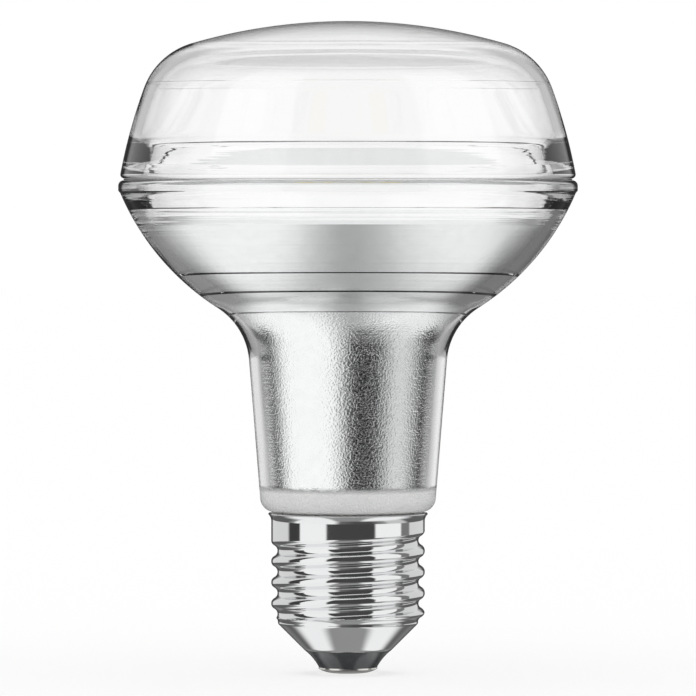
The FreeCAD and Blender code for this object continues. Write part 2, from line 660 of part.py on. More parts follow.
def header_block():
    """Plastic block that holds the pins at the board's upper edge."""
    foot_z = DRIVER_TOP_Z - HEADER_SIZE[2]
    body = box(HEADER_SIZE, (0, DRIVER_FACE + HEADER_SIZE[1] / 2), foot_z)
    side = PIN_SIDE + 2 * HOLE_CLEARANCE
    for x, _ in pin_places():
        body = body.cut(box((side, 2 * side, HEADER_SIZE[2]), (x, DRIVER_FACE), foot_z))
    return body.Solids[0]


# Driver

def driver_sleeve():
    """Plastic tube with a collar under the heat spreader, ribs that guide the board, and a cup at its foot."""
    top = PLATE_Z - SEAT_GAP
    end = top - COLLAR_HEIGHT
    inset = COATING + 2 * SEAT_GAP + SPREADER_CLEARANCE
    wide_top = neck_inside(top, inset + SEAT_GAP + SPREADER_WALL)
    wide_end = neck_inside(end, inset + SEAT_GAP + SPREADER_WALL)
    cup_z = NECK_FLOOR_Z + SEAT_GAP
    cup_cut = NECK_CORNER - NECK_WALL
    cup_low = neck_inside(cup_z + cup_cut, inset)
    cup_top = neck_inside(CUP_TOP_Z, inset)
    tube = turned([(SLEEVE_BORE, SLEEVE_END_Z), (SLEEVE_RADIUS, SLEEVE_END_Z), (SLEEVE_RADIUS, cup_z),
                   (cup_low - cup_cut, cup_z), (cup_low, cup_z + cup_cut), (cup_top, CUP_TOP_Z),
                   (cup_top - CUP_WALL, CUP_TOP_Z), (cup_low - CUP_WALL, cup_z + CUP_WALL),
                   (SLEEVE_RADIUS, cup_z + CUP_WALL), (SLEEVE_RADIUS, top - COLLAR_WALL),
                   (wide_top - COLLAR_WALL, top - COLLAR_WALL), (wide_end - COLLAR_WALL, end), (wide_end, end),
                   (wide_top, top), (SLEEVE_BORE, top)])
    reach, thick = GUIDE_RIB
    height = DRIVER_HEIGHT + SEAT_GAP
    room = rod(SLEEVE_BORE + SLEEVE_WALL / 2, height, 0, 0, DRIVER_END_Z)
    for side in (-1, 1):
        for face in (-1, 1):
            centre = (side * (SLEEVE_BORE + SLEEVE_WALL / 2 - reach / 2), face * (DRIVER_FACE + SEAT_GAP + thick / 2))
            rib = box((reach + SLEEVE_WALL / 2, thick, height), centre, DRIVER_END_Z)
            tube = tube.fuse(rib.common(room))
    for x, y in screw_places():
        boss = rod(SCREW_RADIUS + BOSS_WALL, COLLAR_HEIGHT - COLLAR_WALL / 2, x, y, end)
        tube = tube.fuse(boss).cut(rod(SCREW_RADIUS + HOLE_CLEARANCE, COLLAR_HEIGHT, x, y, end))
    return one_solid(tube)


def driver_board():
    return box((2 * DRIVER_HALF_WIDTH, DRIVER_BOARD, DRIVER_HEIGHT), (0, 0), DRIVER_END_Z)


def standing_off(radius):
    """Distance of a round component's axis from the board's middle."""
    return DRIVER_FACE + SEAT_GAP + radius


def bulk_capacitor():
    """Can that lies along the board, with two legs bent down onto it."""
    radius = (SLEEVE_BORE - DRIVER_FACE - BULK_CLEARANCE) / 2
    y = standing_off(radius)
    can = rod(radius, BULK_LENGTH, 0, y, BULK_Z)
    can = can.makeFillet(COMPONENT_LEG, [e for e in can.Edges if e.Closed])
    for side in (-1, 1):
        x = side * radius / 2
        leg_z = BULK_Z - 3 * COMPONENT_LEG
        leg = rod(COMPONENT_LEG, BULK_Z - leg_z, x, y, leg_z).fuse(
            rod(COMPONENT_LEG, y - DRIVER_FACE, x, y, leg_z, Vector(0, -1, 0)))
        can = can.fuse(leg)
    return one_solid(can)


def film_capacitor():
    middle_y = DRIVER_FACE + FILM_BOX[1] / 2
    body = box(FILM_BOX, (0, middle_y), FILM_Z)
    return body.makeFillet(COMPONENT_LEG, [e for e in body.Edges if e.BoundBox.YMin > middle_y])


def inductor_core():
    """Ferrite bobbin that stands on the board."""
    radius, thick = COIL_FLANGE
    coil_z = DRIVER_END_Z + COIL_UP
    toward = Vector(0, -1, 0)
    low = Part.makeCylinder(radius, thick, Vector(0, -DRIVER_FACE, coil_z), toward)
    high = Part.makeCylinder(radius, thick, Vector(0, thick - DRIVER_FACE - COIL_HEIGHT, coil_z), toward)
    post = Part.makeCylinder(COIL_CORE, COIL_HEIGHT, Vector(0, -DRIVER_FACE, coil_z), toward)
    return one_solid(low.fuse([high, post]))


def inductor_winding():
    thick = COIL_FLANGE[1] + SEAT_GAP
    coil_z = DRIVER_END_Z + COIL_UP
    length = COIL_HEIGHT - 2 * thick
    base = Vector(0, -DRIVER_FACE - thick, coil_z)
    toward = Vector(0, -1, 0)
    return Part.makeCylinder(COIL_WINDING, length, base, toward).cut(
        Part.makeCylinder(COIL_CORE + SEAT_GAP, length, base, toward))


def package(size, legs_per_side):
    """Moulded package on the board's -Y face, with gull-wing legs at its left and right."""
    width, height, length, up = size
    foot_z = DRIVER_END_Z + up
    leg_width, leg_thick, leg_reach = LEG_SIZE
    body = box((width, height, length), (0, -DRIVER_FACE - leg_thick - height / 2), foot_z)
    spacing = length / legs_per_side
    for n in range(legs_per_side):
        z = foot_z + spacing * (n + 0.5) - leg_width / 2
        for side in (-1, 1):
            knee = side * (width / 2 + leg_reach / 2)
            foot = box((leg_reach, leg_thick, leg_width), (knee, -DRIVER_FACE - leg_thick / 2), z)
            riser = box((leg_thick, height / 2 + leg_thick, leg_width),
                        (side * (width / 2 + leg_thick / 2), -DRIVER_FACE - height / 4 - leg_thick / 2), z)
            body = body.fuse([foot, riser])
    return one_solid(body)


def bridge_rectifier():
    return package(BRIDGE_BODY, 2)


def driver_chip():
    return package(CHIP_BODY, 4)


def chip_resistors():
    y = -DRIVER_FACE - RESISTOR_CHIP[1] / 2
    column = DRIVER_HALF_WIDTH - RESISTOR_INSET
    return group([box(RESISTOR_CHIP, (side * column, y), DRIVER_END_Z + up)
                  for side in (-1, 1) for up in RESISTOR_ROWS])


def fusible_resistor():
    """Round resistor that lies along the board, its two leads bent onto it."""
    radius, length = FUSE_BODY
    x = -DRIVER_HALF_WIDTH / 2
    y = standing_off(radius)
    leg = 3 * COMPONENT_LEG
    shape = rod(radius, length, x, y, FUSE_Z)
    shape = shape.fuse(rod(COMPONENT_LEG, length + 2 * leg, x, y, FUSE_Z - leg))
    for z in (FUSE_Z - leg, FUSE_Z + length + leg):
        shape = shape.fuse(rod(COMPONENT_LEG, y - DRIVER_FACE, x, y, z, Vector(0, -1, 0)))
    return one_solid(shape)


NODES = {
    "glass_dome": glass_dome,
    "rim_seal": rim_seal,
    "reflector_body": reflector_body,
    "mirror_coating": mirror_coating,
    "heat_spreader": heat_spreader,
    "led_board": led_board,
    "led_chips": led_chips,
    "board_screws": board_screws,
    "board_socket": board_socket,
    "header_pins": header_pins,
    "header_block": header_block,
    "driver_sleeve": driver_sleeve,
    "driver_board": driver_board,
    "bulk_capacitor": bulk_capacitor,
    "film_capacitor": film_capacitor,
    "inductor_core": inductor_core,
    "inductor_winding": inductor_winding,
    "bridge_rectifier": bridge_rectifier,
    "driver_chip": driver_chip,
    "chip_resistors": chip_resistors,
    "fusible_resistor": fusible_resistor,
    "supply_wire": supply_wire,
    "shell_wire": shell_wire,
    "cap_cement": cap_cement,
    "cap_shell": cap_shell,
    "cap_insulator": cap_insulator,
    "centre_contact": centre_contact,
    "contact_solder": contact_solder,
}

os.makedirs("parts", exist_ok=True)
for name, make in NODES.items():
    shape = make()
    shape.exportStep("parts/" + name + ".step")
    print(name, len(shape.Solids), "solids", round(shape.Volume, 1), "mm3", "valid" if shape.isValid() else "INVALID")
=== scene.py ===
# Looks of the reflector lamp, in metres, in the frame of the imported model.
import math

import bpy
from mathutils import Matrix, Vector


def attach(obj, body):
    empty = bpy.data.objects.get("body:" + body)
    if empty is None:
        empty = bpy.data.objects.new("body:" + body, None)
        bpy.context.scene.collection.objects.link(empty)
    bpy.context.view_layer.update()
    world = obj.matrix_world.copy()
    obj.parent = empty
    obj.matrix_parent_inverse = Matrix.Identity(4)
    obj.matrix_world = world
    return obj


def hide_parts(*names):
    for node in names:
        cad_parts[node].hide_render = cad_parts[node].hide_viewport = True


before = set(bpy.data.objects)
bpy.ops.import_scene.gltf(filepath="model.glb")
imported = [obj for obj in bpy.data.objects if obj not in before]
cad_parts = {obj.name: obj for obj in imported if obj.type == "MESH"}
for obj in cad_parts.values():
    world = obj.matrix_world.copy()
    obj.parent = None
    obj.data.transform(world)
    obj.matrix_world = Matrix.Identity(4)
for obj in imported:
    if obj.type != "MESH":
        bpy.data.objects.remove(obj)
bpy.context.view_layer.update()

MM = 0.001

# Sizes that the glass, the mirror and the cap share with the solids, in millimetres
SEAM_Z = 84.7
SEAM_GAP = 0.3
SEAT_GAP = 0.03
RIM_RADIUS = 39.45
DOME_HEIGHT = 27.0
DOME_WALL = 1.9
DOME_CROWN_ARC = 96.5
DOME_SHOULDER_ARC = 12.4
DOME_SIDE_ARC = 93.0
DOME_FOOT_RADIUS = RIM_RADIUS - 0.37
DOME_FOOT_LEAN = 10.7
DOME_FOOT_ROUND = 0.7
DOME_BORE = DOME_FOOT_RADIUS - 3.6
DOME_FOOT_HEIGHT = 2.0
DOME_FOOT_SLOPE = 6.0
RIM_ROUND = 0.95
RIM_WALL = 2.8
RIM_LEDGE_Z = SEAM_Z - 4.2
RIM_DRAFT = 0.2
RIM_BAND = 0.85
BOWL_TOP_Z = SEAM_Z - RIM_ROUND - RIM_BAND - 0.4
BOWL_ARC = 43.55
BOWL_START = RIM_RADIUS - 0.34
BOWL_LEAN = 23.0
BOWL_WALL = 2.15
RING_STEP = 0.55
UPPER_RING_Z = SEAM_Z - 14.7
LOWER_RING_Z = SEAM_Z - 17.5
NECK_BLEND = 11.8
NECK_RADIUS = 15.17
NECK_RADIUS_Z = 31.0
NECK_TAPER = 4.6
NECK_WALL = 1.7
NECK_CORNER = 2.4
NECK_END_Z = 27.75
STUB_RADIUS = 11.144
STUB_WALL = 1.4
STUB_END_Z = 15.5
COATING = 0.1
COATING_TOP_Z = SEAM_Z - 6.9
COATING_END_Z = NECK_END_Z + 3.65
SHEET = 0.25
THREAD_RADIUS = 13.2
THREAD_PITCH = 3.629
THREAD_ARC = 1.025
CREST_EXTRA = 0.02
GROOVE_OUT = 1.6
GROOVE_Z = 8.32
GROOVE_START = -0.6
GROOVE_END = 4.362
GROOVE_FADE = 0.33
ROOT_CYLINDER = 12.05
CONE_CORNER = 0.5
MOUTH_RADIUS = 7.5
MOUTH_Z = 3.95
SKIRT_END_Z = 26.15
FLARE_ARC = 1.6
FLARE_RADIUS = 13.75
TAPER = math.tan(math.radians(NECK_TAPER))

# Forms that only the dressed model has, in millimetres
CROWN_WALL = 1.4                   # wall at the middle of the crown, thinned from the inside
DOME_LINE = (101.4, -0.04, 0.12)   # fine line that the mould leaves: height, rise and half width
NECK_LINE = (63.8, 0.18, 0.3)      # a like line inside the throat
LEDGE_ROUND = 1.5                  # inside the dome's foot, where its bore turns into the slope
SLOPE_ROUND = 6.0                  # and where the slope runs out into the wall
RAGGED_REACH = 1.5                 # height over which the mirror's lower edge wanders
RAGGED_RISE = 0.45
RAGGED_WAVES = [(0.22, 5, 0.6), (0.13, 13, 2.0), (0.08, 31, 0.0)]   # height, waves in a round, phase

# Heights over which a finish changes, in millimetres
FOOT_FINISH = (31.2, 32.2)         # unpolished glass below
STIPPLE_TOP = (63.9, 64.0)         # stippled mirror below
SATIN_TOP = (60.5, 64.5)           # duller mirror below
BODY_RINGS = (75.5, 77.0)          # fine pressed rings above
DOME_RINGS = (90.5, 92.0)          # fine pressed rings below

NOISE_RANGE = (0.3, 0.7)           # where most of a noise's values lie

# Relief of the finishes, in metres
GLASS_WAVES = 0.00006
DOME_RING_RELIEF = 0.00001
BODY_RING_RELIEF = 0.00004
FOOT_GRAIN = 0.00025
MIRROR_WAVES = 0.00002
MIRROR_STREAKS = 0.00003
STIPPLE = 0.00003
NICKEL_DENTS = 0.00001
NICKEL_STREAKS = 0.000002
PLAIN_GRAIN = 0.00003
ROUGH_GRAIN = 0.0001               # cement and solder

# Fineness of the meshes
ROUND = 288                        # sides of the turned glass and mirror
CAP_ROUND = 240
THREAD_ROWS = 40                   # rows for each turn of the thread, on the outside
INNER_THREAD_ROWS = 14

# Brightness of the surroundings, as reflections show them
CEILING = 0.95
OUTLINE = 0.06                     # right behind the lamp
GLASS_EDGE = 0.1                   # where clear glass turns the view far aside

# Camera and floor, in metres unless it says otherwise
CAMERA_Y = -1.2
CAMERA_Z = 0.085
CAMERA_DOWN = 1.39                 # degrees
SENSOR = 36                        # millimetres
PHOTO_HEIGHT = 119.57              # millimetres of the lamp's plane that the picture shows
FLOOR = 4.0
FLOOR_Z = -0.0001
FLOOR_GREY = 0.8
FLOOR_GLOW = 1.2                   # with the grey it makes the same white as the background
GLOW_SHARE = 0.5                   # the other half keeps the lamp's shadow


# Sections: points are (radius, height) in millimetres

def polar(centre, radius, degrees):
    a = math.radians(degrees)
    return (centre[0] + radius * math.cos(a), centre[1] + radius * math.sin(a))


def bearing(centre, point):
    return math.degrees(math.atan2(point[1] - centre[1], point[0] - centre[0]))


def arc(centre, radius, start, end, count):
    return [polar(centre, radius, start + (end - start) * n / count) for n in range(count + 1)]


def line(start, end, count):
    return [tuple(a + (b - a) * n / count for a, b in zip(start, end)) for n in range(count + 1)]


def joined(*runs):
    """One list of points without repeats where the runs meet."""
    points = []
    for run in runs:
        for point in run:
            if not points or math.dist(points[-1], point) > 1e-5:
                points.append(point)
    if math.dist(points[0], points[-1]) < 1e-5:
        points.pop()
    return points


def dome_arcs(inset, end_z=None):
    lean = math.radians(DOME_FOOT_LEAN)
    foot = (DOME_FOOT_RADIUS, SEAM_Z + SEAM_GAP + DOME_FOOT_ROUND * (1 + math.sin(lean)))
    crown = (0, SEAM_Z + SEAM_GAP + DOME_HEIGHT - DOME_CROWN_ARC)
    side = polar(foot, DOME_SIDE_ARC, 180 + DOME_FOOT_LEAN)
    to_crown = DOME_CROWN_ARC - DOME_SHOULDER_ARC
    to_side = DOME_SIDE_ARC - DOME_SHOULDER_ARC
    apart = math.dist(crown, side)
    along = (to_crown ** 2 - to_side ** 2 + apart ** 2) / (2 * apart)
    turn = math.degrees(math.atan2(math.sqrt(to_crown ** 2 - along ** 2), along))
    shoulder = polar(crown, to_crown, bearing(crown, side) - turn)
    if shoulder[0] < 0:
        shoulder = polar(crown, to_crown, bearing(crown, side) + turn)
    top = bearing(crown, shoulder)
    low = bearing(side, shoulder)
    end = DOME_FOOT_LEAN
    if end_z is not None:
        end = math.degrees(math.asin((end_z - side[1]) / (DOME_SIDE_ARC - inset)))
    runs = [arc(crown, DOME_CROWN_ARC - inset, 90, top, 36),
            arc(shoulder, DOME_SHOULDER_ARC - inset, top, low, 36),
            arc(side, DOME_SIDE_ARC - inset, low, end, 20)]
    if inset:
        # The inner face rises a little more toward the crown, so the wall is thinner there.
        apex = SEAM_Z + SEAM_GAP + DOME_HEIGHT - CROWN_WALL
        radius = DOME_SHOULDER_ARC - inset
        drop = shoulder[1] - apex
        inner_arc = (radius ** 2 - shoulder[0] ** 2 - drop ** 2) / (2 * (drop + radius))
        inner = (0, apex - inner_arc)
        meet = bearing(inner, shoulder)
        runs[:2] = [arc(inner, inner_arc, 90, meet, 36), arc(shoulder, radius, meet, low, 36)]
    return runs


def rounded(before, corner, after, radius, count):
    """Arc of a radius that rounds a corner between two points."""
    back = Vector(before) - Vector(corner)
    ahead = Vector(after) - Vector(corner)
    half = back.angle(ahead) / 2
    reach = radius / math.tan(half)
    middle = (back.normalized() + ahead.normalized()).normalized()
    centre = Vector(corner) + middle * (radius / math.sin(half))
    first = Vector(corner) + back.normalized() * reach - centre
    last = Vector(corner) + ahead.normalized() * reach - centre
    start = math.degrees(math.atan2(first.y, first.x))
    sweep = math.degrees(first.angle_signed(last))
    return arc(tuple(centre), radius, start, start - sweep, count)


BOWL_CENTRE = polar((BOWL_START, BOWL_TOP_Z), BOWL_ARC, 180 - BOWL_LEAN)


def bowl_radius(arc_radius, z):
    return BOWL_CENTRE[0] + math.sqrt(arc_radius ** 2 - (z - BOWL_CENTRE[1]) ** 2)


def bowl_run(arc_radius, top_z, low_z, count):
    ends = [bearing(BOWL_CENTRE, (bowl_radius(arc_radius, z), z)) for z in (top_z, low_z)]
    return arc(BOWL_CENTRE, arc_radius, ends[0], ends[1], count)


def neck_outside(z):
    return NECK_RADIUS + (z - NECK_RADIUS_Z) * TAPER


def neck_inside(z, inset=0):
    return neck_outside(z) - (NECK_WALL + inset) / math.cos(math.radians(NECK_TAPER))


def throat(arc_radius, depth):
    """Blend from a bowl arc to the line that lies depth inside the neck's outer face."""
    radius = NECK_BLEND + depth
    z = NECK_RADIUS_Z
    for _ in range(60):
        r = neck_outside(z) + NECK_BLEND / math.cos(math.radians(NECK_TAPER))
        z = BOWL_CENTRE[1] - math.sqrt((arc_radius + radius) ** 2 - (r - BOWL_CENTRE[0]) ** 2)
    return arc((r, z), radius, bearing((r, z), BOWL_CENTRE), 180 - NECK_TAPER, 30)


def ridged(run, middle, rise, half):
    """A run of points with a fine ridge, or groove, added at a height."""
    marks = [middle + half, middle, middle - half]
    points = []
    for before, after in zip(run, run[1:]):
        points.append(before)
        for mark in marks:
            if min(before[1], after[1]) < mark < max(before[1], after[1]):
                share = (mark - before[1]) / (after[1] - before[1])
                lift = rise if mark == middle else 0.0
                points.append((before[0] + (after[0] - before[0]) * share + lift, mark))
    return points + [run[-1]]


def bowl_inside(inset, top_z, end_z):
    """Inside of bowl and neck from top_z down to end_z, with a small step at each pressed ring."""
    arcs = [BOWL_ARC - BOWL_WALL - inset - n * RING_STEP for n in range(3)]
    rings = [UPPER_RING_Z + inset, LOWER_RING_Z + inset]
    blend = throat(arcs[2], NECK_WALL + inset)
    return joined(bowl_run(arcs[0], top_z, rings[0], 40), bowl_run(arcs[1], rings[0], rings[1], 14),
                  bowl_run(arcs[2], rings[1], blend[0][1], 6), ridged(blend, *NECK_LINE),
                  line(blend[-1], (neck_inside(end_z, inset), end_z), 60))


# Meshes

def new_object(name, vertices, faces, node, smooth_angle=35):
    mesh = bpy.data.meshes.new(name)
    mesh.from_pydata([tuple(c * MM for c in v) for v in vertices], [], faces)
    mesh.validate()
    for polygon in mesh.polygons:
        polygon.use_smooth = True
    mesh.set_sharp_from_angle(angle=math.radians(smooth_angle))
    piece = bpy.data.objects.new(name, mesh)
    bpy.context.scene.collection.objects.link(piece)
    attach(piece, "root")
    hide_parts(node)
    return piece


def turned(name, section, node, sides=ROUND, shape=None, smooth_angle=35):
    """Mesh of revolution of a closed section. shape(r, z, angle) may move a point."""
    vertices = []
    rows = []
    for r, z in section:
        if r < 1e-6:
            rows.append([len(vertices)] * sides)
            vertices.append((0, 0, z))
            continue
        rows.append(list(range(len(vertices), len(vertices) + sides)))
        for n in range(sides):
            a = 2 * math.pi * n / sides
            rr, zz = shape(r, z, a) if shape else (r, z)
            vertices.append((rr * math.cos(a), rr * math.sin(a), zz))
    faces = []
    count = len(rows)
    for i in range(count):
        low, high = rows[i], rows[(i + 1) % count]
        if low[0] == low[1] and high[0] == high[1]:
            continue
        for n in range(sides):
            m = (n + 1) % sides
            corners = [low[n], low[m], high[m], high[n]]
            face = [c for k, c in enumerate(corners) if c != corners[k - 1]]
            faces.append(face[::-1])
    return new_object(name, vertices, faces, node, smooth_angle)


def dome_section():
    face_z = SEAM_Z + SEAM_GAP
    outside = dome_arcs(0)
    outside[1] = ridged(outside[1], *DOME_LINE)
    inside = dome_arcs(DOME_WALL, face_z + DOME_FOOT_SLOPE)
    foot = polar(outside[2][-1], DOME_FOOT_ROUND, 180 + DOME_FOOT_LEAN)
    bore = (DOME_BORE, face_z)
    low = (DOME_BORE, face_z + DOME_FOOT_HEIGHT)
    high = inside[2][-1]
    low_round = rounded(bore, low, high, LEDGE_ROUND, 6)
    high_round = rounded(low, high, inside[2][-6], SLOPE_ROUND, 14)
    kept = [point for point in inside[2] if point[1] > high_round[-1][1] + 0.1]
    return joined(*outside, arc(foot, DOME_FOOT_ROUND, DOME_FOOT_LEAN, -90, 8), line(bore, low_round[0], 3),
                  low_round, line(low_round[-1], high_round[0], 10), high_round,
                  kept[::-1], inside[1][::-1], inside[0][::-1])


def body_section():
    rim = (RIM_RADIUS - RIM_ROUND, SEAM_Z - RIM_ROUND)
    rim_inside = RIM_RADIUS - RIM_WALL
    blend = throat(BOWL_ARC, 0)
    corner_z = NECK_END_Z + NECK_CORNER
    corner = (neck_outside(corner_z) - NECK_CORNER / math.cos(math.radians(NECK_TAPER)), corner_z)
    corner_run = arc(corner, NECK_CORNER, -NECK_TAPER, -90, 12)
    stub_inside = STUB_RADIUS - STUB_WALL
    floor = NECK_END_Z + NECK_WALL
    inside = bowl_inside(0, RIM_LEDGE_Z, corner_z)
    return joined(arc(rim, RIM_ROUND, 90, 0, 12), [(RIM_RADIUS, rim[1] - RIM_BAND)],
                  bowl_run(BOWL_ARC, BOWL_TOP_Z, blend[0][1], 60), blend,
                  line(blend[-1], corner_run[0], 30), corner_run,
                  [(STUB_RADIUS, NECK_END_Z), (STUB_RADIUS, STUB_END_Z), (stub_inside, STUB_END_Z),
                   (stub_inside, floor), (neck_inside(corner_z) - (NECK_CORNER - NECK_WALL), floor)],
                  inside[::-1], [(rim_inside - RIM_DRAFT, RIM_LEDGE_Z), (rim_inside, SEAM_Z)])


def coating_section():
    outer = bowl_inside(SEAT_GAP, COATING_TOP_Z, COATING_END_Z)
    inner = bowl_inside(SEAT_GAP + COATING, COATING_TOP_Z, COATING_END_Z)
    return joined(outer, inner[::-1])


def ragged(r, z, a):
    """The lower edge of the mirror layer wanders a little."""
    reach = max(0.0, 1 - (z - COATING_END_Z) / RAGGED_REACH)
    wave = sum(height * math.sin(count * a + phase) for height, count, phase in RAGGED_WAVES)
    rise = reach * (RAGGED_RISE + wave)
    return r + rise * TAPER, z + rise


# The cap's sheet with its rolled thread

def groove_radius(z, angle, inset):
    """Radius of the groove's wall at a height and angle, or None away from it."""
    crest_r = THREAD_RADIUS + CREST_EXTRA - THREAD_ARC
    span = 2 * THREAD_ARC
    half = THREAD_PITCH / 2
    root_r = crest_r + math.sqrt(span ** 2 - half ** 2)
    root_arc = THREAD_ARC + inset
    crest_arc = THREAD_ARC - inset
    flank = root_arc * half / span
    best = None
    first = angle / (2 * math.pi)
    for k in range(math.floor(GROOVE_START), math.ceil(GROOVE_END) + 1):
        t = first + k
        if not GROOVE_START <= t <= GROOVE_END:
            continue
        u = abs(z - GROOVE_Z - THREAD_PITCH * t)
        if u > half:
            continue
        if u <= flank:
            r = root_r - math.sqrt(root_arc ** 2 - u ** 2)
        else:
            r = crest_r + math.sqrt(max(0.0, crest_arc ** 2 - (half - u) ** 2))
        fade = max(0.0, (t - GROOVE_END + GROOVE_FADE) / GROOVE_FADE)
        r += GROOVE_OUT * fade ** 2
        best = r if best is None else min(best, r)
    return best


def shell_runs(inset):
    """Outline of one face of the sheet without its thread, from the mouth up to the flare."""
    cone_drop = inset * math.sqrt(2)
    corner = (ROOT_CYLINDER - CONE_CORNER, MOUTH_Z + ROOT_CYLINDER - MOUTH_RADIUS
              + CONE_CORNER * math.tan(math.radians(22.5)))
    swing = math.degrees(math.acos(1 - (THREAD_RADIUS - ROOT_CYLINDER) / (2 * THREAD_ARC)))
    root = (ROOT_CYLINDER + THREAD_ARC, corner[1] + SEAT_GAP)
    crest = (THREAD_RADIUS - THREAD_ARC, root[1] + 2 * THREAD_ARC * math.sin(math.radians(swing)))
    flare = (THREAD_RADIUS + FLARE_ARC, SKIRT_END_Z)
    flare_end = 180 - math.degrees(math.acos((flare[0] - FLARE_RADIUS) / FLARE_ARC))
    corner_run = arc(corner, CONE_CORNER - inset, -45, 0, 8)
    crest_run = arc(crest, THREAD_ARC - inset, -swing, 0, 10)
    top = crest_run[-1]
    steps = round((SKIRT_END_Z - top[1]) / THREAD_PITCH * (INNER_THREAD_ROWS if inset else THREAD_ROWS))
    return joined(line((MOUTH_RADIUS - cone_drop, MOUTH_Z), corner_run[0], 10), corner_run,
                  arc(root, THREAD_ARC + inset, 180, 180 - swing, 10), crest_run,
                  line(top, (top[0], SKIRT_END_Z), steps),
                  arc(flare, FLARE_ARC + inset, 180, flare_end, 8))


def cap_mesh():
    outside = shell_runs(0)
    inside = shell_runs(SHEET)
    inner_face = set(inside)

    def shape(r, z, a):
        inset = SHEET if (r, z) in inner_face else 0
        groove = groove_radius(z, a, inset)
        return (r if groove is None else min(r, groove)), z

    section = joined(outside, inside[::-1])
    return turned("screw_cap_shell", section, "cap_shell", CAP_ROUND, shape, 50)


# Materials

class Nodes:
    """Short hand for one material's node tree."""

    def __init__(self, name):
        self.material = bpy.data.materials.new(name)
        self.material.use_nodes = True
        self.tree = self.material.node_tree
        self.shader = self.tree.nodes["Principled BSDF"]
        self.where = self.add("ShaderNodeTexCoord").outputs["Object"]

    def add(self, kind, **settings):
        node = self.tree.nodes.new(kind)
        for key, value in settings.items():
            setattr(node, key, value)
        return node

    def link(self, output, socket):
        self.tree.links.new(output, socket)

    def set(self, **values):
        for key, value in values.items():
            self.shader.inputs[key.replace("_", " ")].default_value = value

    def stretched(self, x, y, z):
        """Object coordinates with another scale on each axis."""
        mapping = self.add("ShaderNodeMapping")
        mapping.inputs["Scale"].default_value = (x, y, z)
        self.link(self.where, mapping.inputs["Vector"])
        return mapping.outputs["Vector"]

    def noise(self, scale, detail=3, where=None, roughness=0.5):
        node = self.add("ShaderNodeTexNoise")
        node.inputs["Scale"].default_value = scale
        node.inputs["Detail"].default_value = detail
        node.inputs["Roughness"].default_value = roughness
        self.link(where or self.where, node.inputs["Vector"])
        return node.outputs["Fac"]

    def ramp(self, value, low, high, to_low=0.0, to_high=1.0):
        node = self.add("ShaderNodeMapRange")
        node.clamp = True
        node.inputs["From Min"].default_value = low
        node.inputs["From Max"].default_value = high
        node.inputs["To Min"].default_value = to_low
        node.inputs["To Max"].default_value = to_high
        self.link(value, node.inputs["Value"])
        return node.outputs["Result"]

    def by_height(self, heights, below, above):
        """A value that changes between two heights in millimetres."""
        node = self.add("ShaderNodeSeparateXYZ")
        self.link(self.where, node.inputs[0])
        return self.ramp(node.outputs["Z"], heights[0] * MM, heights[1] * MM, below, above)

    def colours(self, value, first, second):
        """Base colour between two colours, by a noise."""
        node = self.add("ShaderNodeValToRGB")
        for element, position, colour in zip(node.color_ramp.elements, NOISE_RANGE, (first, second)):
            element.position = position
            element.color = (*colour, 1)
        self.link(value, node.inputs["Fac"])
        self.link(node.outputs["Color"], self.shader.inputs["Base Color"])

    def roughness(self, value, low, high):
        self.link(self.ramp(value, *NOISE_RANGE, low, high), self.shader.inputs["Roughness"])

    def product(self, first, second):
        node = self.add("ShaderNodeMath", operation="MULTIPLY")
        self.link(first, node.inputs[0])
        self.link(second, node.inputs[1])
        return node.outputs[0]

    def bump(self, value, distance, before=None):
        """Relief of a height in metres, on top of another one."""
        node = self.add("ShaderNodeBump")
        node.inputs["Distance"].default_value = distance
        node.inputs["Strength"].default_value = 1.0
        self.link(value, node.inputs["Height"])
        if before:
            self.link(before, node.inputs["Normal"])
        self.link(node.outputs["Normal"], self.shader.inputs["Normal"])
        return node.outputs["Normal"]


def clear_glass(name):
    """Slightly wavy clear glass, with the relief so far and a pattern of fine level rings for it."""
    m = Nodes(name)
    m.set(Base_Color=(0.992, 0.996, 0.994, 1), Roughness=0.0, IOR=1.5, Transmission_Weight=1.0)
    return m, m.bump(m.noise(70, 1), GLASS_WAVES), m.noise(1, 2, m.stretched(9, 9, 1500))


def dome_material():
    m, wavy, rings = clear_glass("clear glass")
    # Painted shade: the glass's colour darkens toward its outline and so draws it; the long way through the
    # glass there explains only part of this darkening.
    outline_shade = m.add("ShaderNodeLayerWeight")
    outline_shade.inputs["Blend"].default_value = 0.5
    m.link(m.ramp(outline_shade.outputs["Facing"], 0.84, 1.0, 1.0, 0.25), m.shader.inputs["Base Color"])
    m.bump(m.product(rings, m.by_height(DOME_RINGS, 1.0, 0.0)), DOME_RING_RELIEF, before=wavy)
    return m.material


def body_material():
    """Clear glass with pressed rings above the mirror and an unpolished, grainy foot below it."""
    m, wavy, rings = clear_glass("clear glass, stippled neck")
    grain = m.product(m.noise(2600, 1.5, roughness=0.4), m.by_height(FOOT_FINISH, 1.0, 0.0))
    grainy = m.bump(grain, FOOT_GRAIN, before=wavy)
    m.bump(m.product(rings, m.by_height(BODY_RINGS, 0.0, 1.0)), BODY_RING_RELIEF, before=grainy)
    m.link(m.by_height(FOOT_FINISH, 0.3, 1.0), m.shader.inputs["Transmission Weight"])
    return m.material


